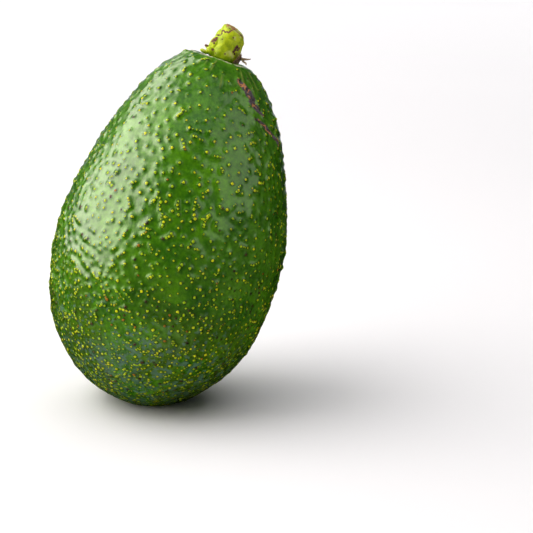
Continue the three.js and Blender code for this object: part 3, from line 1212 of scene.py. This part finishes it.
@dataclass
class Stem(Piece):
    """The stub of the stem: a swollen foot, a tapering stub with a slanted cut, and small scales.

    Each lump is the half sizes of a rounded body, its place and its tilt in degrees. Each mark is the
    middle of a brown spot and its radius. Each line is the half width of a brown line and its points.
    """

    form: FruitForm
    name: str = "stem_stub"
    slot: Slot = Slot.STEM
    node: str = "stem"
    length: float = 9.2
    foot_radius: float = 4.5
    waist_radius: float = 4.2
    top_radius: float = 3.6
    root_radius: float = 3.0
    lean: float = 6.0
    slant_right: float = 17.5
    slant_front: float = 9.0
    dish_depth: float = 0.8
    root_depth: float = 0.5
    round_steps: int = 72
    voxel: float = 0.14
    softening: int = 4
    lumps: tuple[tuple[Place, Place, float], ...] = (
        ((2.0, 2.2, 3.0), (-2.9, -0.9, 3.0), 12.0),
        ((1.9, 2.0, 2.4), (-2.0, -0.6, 6.0), 12.0),
        ((1.0, 0.8, 0.5), (-5.1, -1.5, 1.75), 25.0),
        ((1.5, 1.0, 0.62), (-5.5, -1.9, 0.2), 8.0),
        ((1.9, 1.3, 1.1), (-3.4, -2.6, 0.85), 20.0),
        ((1.5, 1.1, 0.8), (2.6, 3.1, 0.5), -15.0),
    )
    marks: tuple[tuple[float, float, float, float], ...] = (
        (3.17, -3.18, 4.33, 0.8), (2.99, -3.41, 3.96, 0.7), (3.85, -2.59, 4.11, 0.6),
        (3.71, -2.72, 3.6, 0.6), (2.89, -3.31, 3.32, 0.7), (2.65, -3.32, 2.64, 0.6),
        (3.1, -2.92, 2.18, 0.5), (-4.17, -2.37, 3.78, 0.8), (-3.51, -2.73, 4.14, 0.7),
        (-4.03, -2.28, 4.4, 0.8), (-3.4, -2.4, 4.83, 0.8), (-3.56, -2.92, 3.36, 0.5),
        (-1.54, -3.85, 5.12, 0.36), (1.31, -3.57, 6.51, 0.42), (0.51, -4.41, 1.31, 0.4),
        (-2.36, -4.02, 0.68, 0.4), (-1.12, -0.36, 9.83, 1.1), (-1.28, -1.72, 9.46, 0.9),
        (-0.42, -1.01, 9.61, 1.2), (0.2, -0.9, 9.5, 1.5), (0.4, -2.0, 9.2, 1.3),
        (0.89, -0.3, 9.3, 1.3),
    )
    lines: tuple[tuple[float, tuple[Place, ...]], ...] = (
        (0.36, ((-3.3, -2.02, 5.9), (-2.42, -2.77, 6.07), (-2.12, -2.82, 6.57), (-2.34, -2.09, 7.46),
                (-1.96, -2.43, 7.73), (-1.4, -3.1, 7.28), (-1.04, -3.27, 7.6), (-0.45, -3.53, 7.49),
                (0.02, -3.44, 8.19), (0.47, -2.79, 8.75))),
        (0.42, ((0.4, -2.3, 9.1), (1.2, -1.95, 8.9), (2.13, -2.12, 8.43), (3.22, -1.9, 7.88),
                (4.12, -0.92, 7.44))),
        (0.6, ((-5.8, -1.8, 2.3), (-5.07, -2.1, 1.9), (-4.52, -2.1, 1.54), (-3.78, -3.2, 1.29),
               (-3.3, -3.6, 1.4))),
    )

    def build(self) -> Object:
        """Makes the stem.

        Returns:
            Its object.
        """
        bm = bmesh.new()
        self._spin_stub(bm)
        mesh = self.mesh_of(bm)
        self.write_points(mesh, self._shape(self.read_points(mesh)))
        bm = bmesh.new()
        bm.from_mesh(mesh)
        bpy.data.meshes.remove(mesh)
        for size, place, tilt in self.lumps:
            self._add_lump(bm, size, place, tilt)
        mesh = self._fuse(self.mesh_of(bm))
        points = self.read_points(mesh)
        points += self._roughness(mesh, points)
        straight = self._unshape(points)
        radius = np.hypot(straight[:, 0], straight[:, 1])
        rim = np.hypot(radius - (self.top_radius - 0.25), straight[:, 2] - (self.length - 0.25))
        cut = np.where(straight[:, 2] > self.length - 0.4, self.top_radius - 0.3 - radius, -1.0)
        top = smooth_rise(straight[:, 2], self.length - 1.2, self.length - 0.5)
        self.write_all(mesh, {"rim": rim, "cut": cut, "top": top, "mark": self._mark_strength(points)})
        self.write_points(mesh, moved(points, self.form.seat_in_part) * MM)
        return self.install(mesh, StemFinish().material())

    def _profile(self) -> list[tuple[float, float]]:
        """The outline of the stub from its root to the middle of its cut end.

        Returns:
            The radius and the height of each point.
        """
        foot = -self.dish_depth - 0.1
        return [
            (0.0, foot - self.root_depth),
            (self.root_radius, foot - self.root_depth),
            (self.root_radius + 0.4, foot),
            (self.foot_radius - 0.15, foot + 0.7),
            (self.foot_radius, foot + 1.5),
            (self.foot_radius - 0.1, foot + 2.4),
            (self.waist_radius, foot + 3.6),
            (self.waist_radius, 0.55 * self.length),
            (self.waist_radius - 0.2, 0.72 * self.length),
            (self.top_radius, self.length - 1.5),
            (self.top_radius - 0.25, self.length - 0.7),
            (self.top_radius - 0.9, self.length - 0.1),
            (self.top_radius * 0.45, self.length + 0.15),
            (0.0, self.length + 0.1),
        ]

    def _spin_stub(self, bm: BMesh) -> None:
        """Spins the outline into a closed stub.

        Args:
            bm: where it is built.
        """
        outline = [bm.verts.new((radius, 0, height)) for radius, height in self._profile()]
        edges = [bm.edges.new(pair) for pair in zip(outline, outline[1:])]
        bmesh.ops.subdivide_edges(bm, edges=edges, cuts=2, smooth=0.8)
        geometry = list(bm.verts) + list(bm.edges)
        bmesh.ops.spin(bm, geom=geometry, axis=(0, 0, 1), cent=(0, 0, 0), angle=2 * math.pi,
                       steps=self.round_steps, use_merge=True)
        bmesh.ops.remove_doubles(bm, verts=bm.verts, dist=1e-3)
        bmesh.ops.recalc_face_normals(bm, faces=bm.faces)

    def _shape(self, points: Array) -> Array:
        """Lengthwise ribs, uneven swellings, the slanted cut and the lean.

        Args:
            points: the points of the straight stub.

        Returns:
            The points of the leaning one.
        """
        shaped = points.copy()
        above = np.maximum(points[:, 2], 0)
        along = above / self.length
        angle = np.arctan2(points[:, 1], points[:, 0])
        ribs = 0.03 * np.sin(3 * angle + 0.6 + 1.5 * along) + 0.02 * np.sin(5 * angle - 2 * along)
        rings = 0.025 * np.sin(1.9 * above + 2 * np.sin(angle + 0.8))
        shaped[:, :2] *= (1 + np.minimum(above, 1) * (ribs + rings))[:, None]
        shaped[:, 2] += self._slant(shaped) * along**1.5
        shaped[:, 0] += above * slope(self.lean)
        return shaped

    def _slant(self, points: Array) -> Array:
        """How much the cut end is raised or lowered at each point."""
        return slope(self.slant_front) * points[:, 1] - slope(self.slant_right) * points[:, 0]

    def _unshape(self, points: Array) -> Array:
        """Takes the lean and the slant out again, near enough to tell the cut end from the side.

        Args:
            points: the points of the leaning stub.

        Returns:
            The points of the straight one.
        """
        straight = points.copy()
        straight[:, 0] -= np.maximum(points[:, 2], 0) * slope(self.lean)
        slant = self._slant(straight)
        for _ in range(3):
            along = np.clip((points[:, 2] - slant) / self.length, 0, 1)
            straight[:, 2] = points[:, 2] - slant * along**1.5
        return straight

    @staticmethod
    def _add_lump(bm: BMesh, size: Place, place: Place, tilt: float) -> None:
        """Adds one swelling of the side or one rounded scale at the foot."""
        turn = Matrix.Translation(place) @ Matrix.Rotation(math.radians(tilt), 4, "Y")
        bmesh.ops.create_icosphere(bm, subdivisions=4, radius=1, matrix=turn @ Matrix.Diagonal((*size, 1)))

    def _fuse(self, mesh: Mesh) -> Mesh:
        """Melts the overlapping bodies into one even skin.

        Args:
            mesh: the bodies, which are used up.

        Returns:
            The mesh of the skin.
        """
        carrier = add_object("stem_blank", mesh)
        remesh = carrier.modifiers.new("fuse", "REMESH")
        remesh.mode = "VOXEL"
        remesh.voxel_size = self.voxel
        smooth = carrier.modifiers.new("soften", "SMOOTH")
        smooth.iterations = self.softening
        evaluated = carrier.evaluated_get(bpy.context.evaluated_depsgraph_get())
        fused = bpy.data.meshes.new_from_object(evaluated)
        fused.name = self.name
        bpy.data.objects.remove(carrier)
        bpy.data.meshes.remove(mesh)
        return fused

    def _roughness(self, mesh: Mesh, points: Array) -> Array:
        """Fine wrinkles along the stem and a torn edge round its cut.

        Args:
            mesh: the stem's mesh.
            points: its points.

        Returns:
            How each point moves.
        """
        normals = np.empty(len(points) * 3, np.float32)
        mesh.vertices.foreach_get("normal", normals)
        long_grain = points * np.array([1, 1, 0.35])
        height = 0.09 * wander(long_grain, 0.9) + 0.07 * wander(points, 1.8, 3.0)
        height += 0.1 * wander(points, 0.6, 7.0) * smooth_rise(points[:, 2], self.length - 1.6, self.length)
        return normals.reshape(-1, 3) * height[:, None]

    def _mark_strength(self, points: Array) -> Array:
        """How deep inside a brown mark each point is, from 0 at its edge to 1.

        Args:
            points: points of the stem.

        Returns:
            The strength at each point.
        """
        strength = np.full(len(points), -1.0)
        for *middle, size in self.marks:
            away = np.linalg.norm(points - np.array(middle), axis=1)
            strength = np.maximum(strength, 1 - away / size)
        for half_width, places in self.lines:
            for start, end in zip(np.array(places), np.array(places[1:])):
                away = from_segment(points, start, end)[1]
                strength = np.maximum(strength, 1 - away / half_width)
        return strength


@dataclass(frozen=True)
class BractFinish:
    """The dry brown of the bracts."""

    pale_tan: Colour = srgb(206, 184, 146)
    tan: Colour = srgb(154, 112, 76)
    brown: Colour = srgb(98, 60, 42)
    dark: Colour = srgb(42, 25, 20)

    def material(self) -> Material:
        """Makes the nodes of the bracts' finish.

        Returns:
            The material.
        """
        shader = Shader("bract_finish")
        fibre = shader.grain(0.8, 3.0, 0.65, 0.8)
        pale = shader.measured("pale") * shader.grain(1.0, 2.0, 0.6).rise(0.3, 0.55)
        colour = shader.layered(
            self.dark,
            (fibre.rise(0.26, 0.42, "LINEAR"), self.brown),
            (fibre.rise(0.42, 0.62, "LINEAR"), self.tan),
            (pale * 0.85, self.pale_tan),
        )
        shader.set(
            Base_Color=colour,
            Roughness=0.72 + fibre * 0.2,
            Normal=shader.bump(shader.grain(0.3, 3.0, 0.7) * 0.12),
        )
        return shader.material


@dataclass
class Bracts(Piece):
    """The dry bracts: a torn flap round the stem's foot, a curled scrap and a thin spike.

    The flap's arc and middle are angles round the stem in degrees. The spike's foot is how far back it is
    and how high, and the strip's points run along the middle of the scrap.
    """

    form: FruitForm
    stem: Stem
    name: str = "dry_bract_scraps"
    slot: Slot = Slot.BRACT
    node: str = "dry_bracts"
    gap: float = 0.3
    slack: float = 0.25
    thickness: float = 0.5
    height: float = 3.0
    arc: float = 40.0
    middle: float = -28.0
    lift: float = 0.1
    spike_length: float = 3.0
    spike_radius: float = 0.7
    spike_foot: Band = (-1.5, 1.4)
    strip: tuple[Place, ...] = (
        (5.3, -1.3, 1.5), (5.7, -1.6, 1.0), (6.2, -1.8, 0.65), (6.9, -2.0, 0.45), (7.3, -2.3, 0.15),
    )

    def build(self) -> Object:
        """Makes the bracts.

        Returns:
            Their object.
        """
        bm = bmesh.new()
        scraps = ((self._flap(), 0.15), (self._spike(), 0.35), (self._strip(), 1.0))
        paleness = np.concatenate([np.full(len(scrap.vertices), pale) for scrap, pale in scraps])
        for scrap, _ in scraps:
            bm.from_mesh(scrap)
            bpy.data.meshes.remove(scrap)
        mesh = self.mesh_of(bm)
        points = self.read_points(mesh)
        self.write_numbers(mesh, "pale", paleness)
        self.write_points(mesh, moved(points, self.form.seat_in_part) * MM)
        return self.install(mesh, BractFinish().material())

    def _flap(self) -> Mesh:
        """The torn flap that hugs the stem's foot.

        Returns:
            Its mesh.
        """
        bm = bmesh.new()
        bmesh.ops.create_grid(bm, x_segments=26, y_segments=14, size=0.5)
        inner = self.stem.foot_radius + self.gap + self.slack
        foot = self.lift - self.stem.dish_depth
        lean = slope(self.stem.lean)
        for vertex in bm.verts:
            across = vertex.co.x * 2
            up = vertex.co.y + 0.5
            torn = 1 - 0.5 * abs(across) ** 2.2 + 0.22 * noise.noise(Vector((across * 3.1, 0.3, 7.0)))
            z = foot + up * self.height * torn
            angle = math.radians(self.middle + across * self.arc / 2 * (1 - 0.45 * up))
            wave = 0.16 * noise.noise(Vector((across * 2.4, up * 2.4, 3.0)))
            radius = inner + wave + 0.12 + 0.25 * up**3
            vertex.co = (radius * math.cos(angle) + max(z, 0) * lean, radius * math.sin(angle), z)
        return self._thicken(bm)

    def _strip(self) -> Mesh:
        """The pale scrap that curls outwards over the collar.

        Returns:
            Its mesh.
        """
        bm = bmesh.new()
        bmesh.ops.create_grid(bm, x_segments=24, y_segments=5, size=0.5)
        path = np.array(self.strip)
        for vertex in bm.verts:
            along = (vertex.co.x + 0.5) * (len(path) - 1)
            across = vertex.co.y * (0.9 - 0.5 * (vertex.co.x + 0.5))
            middle = [float(np.interp(along, np.arange(len(path)), path[:, axis])) for axis in range(3)]
            ripple = 0.12 * noise.noise(Vector((along * 1.3, across, 9.0)))
            vertex.co = (middle[0] + 0.4 * across, middle[1] + across, middle[2] + ripple)
        return self._thicken(bm)

    def _thicken(self, bm: BMesh) -> Mesh:
        """Gives a sheet its thickness.

        Args:
            bm: the sheet, which is used up.

        Returns:
            The mesh of the thick sheet.
        """
        bmesh.ops.solidify(bm, geom=list(bm.faces), thickness=-self.thickness)
        bmesh.ops.recalc_face_normals(bm, faces=bm.faces)
        return self.mesh_of(bm)

    def _spike(self) -> Mesh:
        """The thin spike that sticks out to the right.

        Returns:
            Its mesh.
        """
        bm = bmesh.new()
        bmesh.ops.create_cone(bm, cap_ends=True, segments=10, radius1=self.spike_radius, radius2=0.2,
                              depth=self.spike_length)
        level = [edge for edge in bm.edges if abs(edge.verts[0].co.z - edge.verts[1].co.z) > 1]
        bmesh.ops.subdivide_edges(bm, edges=level, cuts=10)
        back, up = self.spike_foot
        for vertex in bm.verts:
            run = vertex.co.z + self.spike_length / 2
            wobble = 0.1 * noise.noise(Vector((run * 0.9, 2.0, 0)))
            x = self.stem.foot_radius + self.gap + self.slack + run
            y = back + vertex.co.y - 0.04 * run + wobble
            z = up + vertex.co.x * 0.8 + 0.1 * run * run + wobble
            vertex.co = (x, y, z)
        bmesh.ops.recalc_face_normals(bm, faces=bm.faces)
        return self.mesh_of(bm)


class Reach(Enum):
    """What a softbox does: light the scene, show as a shine on it, or both."""

    LIGHT = "light"
    SHINE = "shine"
    BOTH = "both"


@dataclass(frozen=True)
class Softbox:
    """A rectangular light that faces the fruit.

    It stands some degrees to the left of the camera and some degrees up, at a distance in metres.
    """

    name: str
    left: float
    rise: float
    away: float
    size: tuple[float, float]
    radiance: float
    colour: tuple[float, float, float]
    reach: Reach


@dataclass
class Studio:
    """The pale floor, the soft lights and the camera."""

    camera_rise: float = 15.0
    camera_distance: float = 600.0
    half_frame: float = 80.283
    aim_right: float = 34.258
    aim_up: float = 38.565
    floor_size: float = 8.0
    floor_colour: Colour = (0.872, 0.848, 0.868, 1.0)
    floor_glow: float = 0.3
    glow_range: Band = (0.3, 1.1)
    floor_shine: float = 0.4
    backdrop_shine: float = 0.6
    room_light: float = 0.03
    room_colour: Colour = (0.85, 0.95, 1.0, 1.0)
    lamp_aim: float = 0.055
    softboxes: tuple[Softbox, ...] = (
        Softbox("key", 84, 32, 0.65, (1.25, 0.80), 1.5, (1.0, 0.98, 0.9), Reach.BOTH),
        Softbox("key_centre", 83, 28, 0.63, (0.8, 0.48), 3.8, (1.0, 0.98, 0.86), Reach.SHINE),
        Softbox("back_left", 145, 48, 0.8, (0.5, 0.5), 2.4, (1.0, 1.0, 0.85), Reach.SHINE),
        Softbox("right", -68, 26, 0.9, (0.98, 0.78), 1.15, (0.9, 1.0, 0.84), Reach.SHINE),
        Softbox("top_front", -14, 68, 1.0, (1.0, 0.5), 0.6, (0.85, 1.0, 0.92), Reach.SHINE),
        Softbox("high_left", 90, 52, 1.2, (1.1, 1.1), 1.95, (1.0, 1.0, 1.0), Reach.LIGHT),
        Softbox("overhead", 180, 76, 1.5, (2.9, 2.9), 1.25, (1.0, 1.0, 1.0), Reach.LIGHT),
    )

    def build(self) -> None:
        """Makes the floor, the lights and the camera."""
        self._floor()
        self._world()
        for softbox in self.softboxes:
            self._light(softbox)
        self._camera()

    def _floor(self) -> None:
        """The pale floor, which grows a little lighter with distance."""
        bm = bmesh.new()
        bmesh.ops.create_grid(bm, x_segments=1, y_segments=1, size=self.floor_size / 2)
        mesh = mesh_from("floor", bm)
        shader = Shader("floor_finish")
        away = shader.vectors("LENGTH", shader.place, output=Output.LENGTH)
        glow = shader.mix(away.rise(*self.glow_range), BLACK, WHITE)
        shader.set(Base_Color=self.floor_colour, Roughness=0.7, Specular_IOR_Level=0.2)
        shader.set(Emission_Color=glow, Emission_Strength=self.floor_glow)
        mesh.materials.append(shader.material)
        floor = add_object("floor", mesh)
        floor.visible_glossy = False

    def _world(self) -> None:
        """A dim room, with a pale shine from below for the underside of the fruit."""
        world = bpy.data.worlds.new("studio")
        world.use_nodes = True
        graph = Graph(world.node_tree)
        background = graph.tree.nodes["Background"]
        graph.feed(background.inputs["Color"], self.room_colour)
        heading = graph.node("ShaderNodeTexCoord", {}, {})
        right, back, up = (graph.node("ShaderNodeSeparateXYZ", {}, {0: heading}, axis) for axis in range(3))
        below = up.rise(-0.6, -0.74) * up.rise(-0.96, -0.86) * back.rise(0.3, 0.05) * right.rise(0.4, 0.0)
        behind = back.rise(0.93, 0.99) * up.rise(-0.45, -0.15)
        strength = below * self.floor_shine + behind * self.backdrop_shine
        graph.feed(background.inputs["Strength"], strength + up.rise(-0.02, 0.1) * self.room_light)
        bpy.context.scene.world = world

    def _light(self, softbox: Softbox) -> None:
        """Sets up one softbox, facing the fruit.

        Args:
            softbox: what it is and where it stands.
        """
        turn, lift = math.radians(softbox.left), math.radians(softbox.rise)
        flat = math.cos(lift)
        heading = Vector((-math.sin(turn) * flat, -math.cos(turn) * flat, math.sin(lift)))
        light = bpy.data.lights.new(softbox.name, "AREA")
        light.shape = "RECTANGLE"
        light.size, light.size_y = softbox.size
        light.color = softbox.colour
        light.energy = softbox.radiance * math.pi * softbox.size[0] * softbox.size[1]
        lamp = add_object(softbox.name, light)
        lamp.location = Vector((0, 0, self.lamp_aim)) + heading * softbox.away
        lamp.rotation_euler = (-heading).to_track_quat("-Z", "Y").to_euler()
        lamp.visible_diffuse = softbox.reach is not Reach.SHINE
        lamp.visible_glossy = softbox.reach is not Reach.LIGHT

    def _camera(self) -> None:
        """The camera, a little above the fruit and level from side to side."""
        rise = math.radians(self.camera_rise)
        looking = Vector((0, math.cos(rise), -math.sin(rise)))
        upward = Vector((0, math.sin(rise), math.cos(rise)))
        target = (Vector((1, 0, 0)) * self.aim_right + upward * self.aim_up) * MM
        data = bpy.data.cameras.new("camera")
        data.sensor_fit = "HORIZONTAL"
        data.angle = 2 * math.atan(self.half_frame / self.camera_distance)
        camera = add_object("camera", data)
        camera.location = target - looking * self.camera_distance * MM
        camera.rotation_euler = looking.to_track_quat("-Z", "Y").to_euler()
        bpy.context.scene.camera = camera


def main() -> None:
    """Builds every piece in order."""
    logging.basicConfig(level=logging.INFO, format="%(name)s: %(message)s")
    bpy.context.scene.view_settings.view_transform = "Standard"
    form = FruitForm()
    Skin(form).build()
    stem = Stem(form)
    stem.build()
    Bracts(form, stem).build()
    Studio().build()


if __name__ == "__main__":
    main()
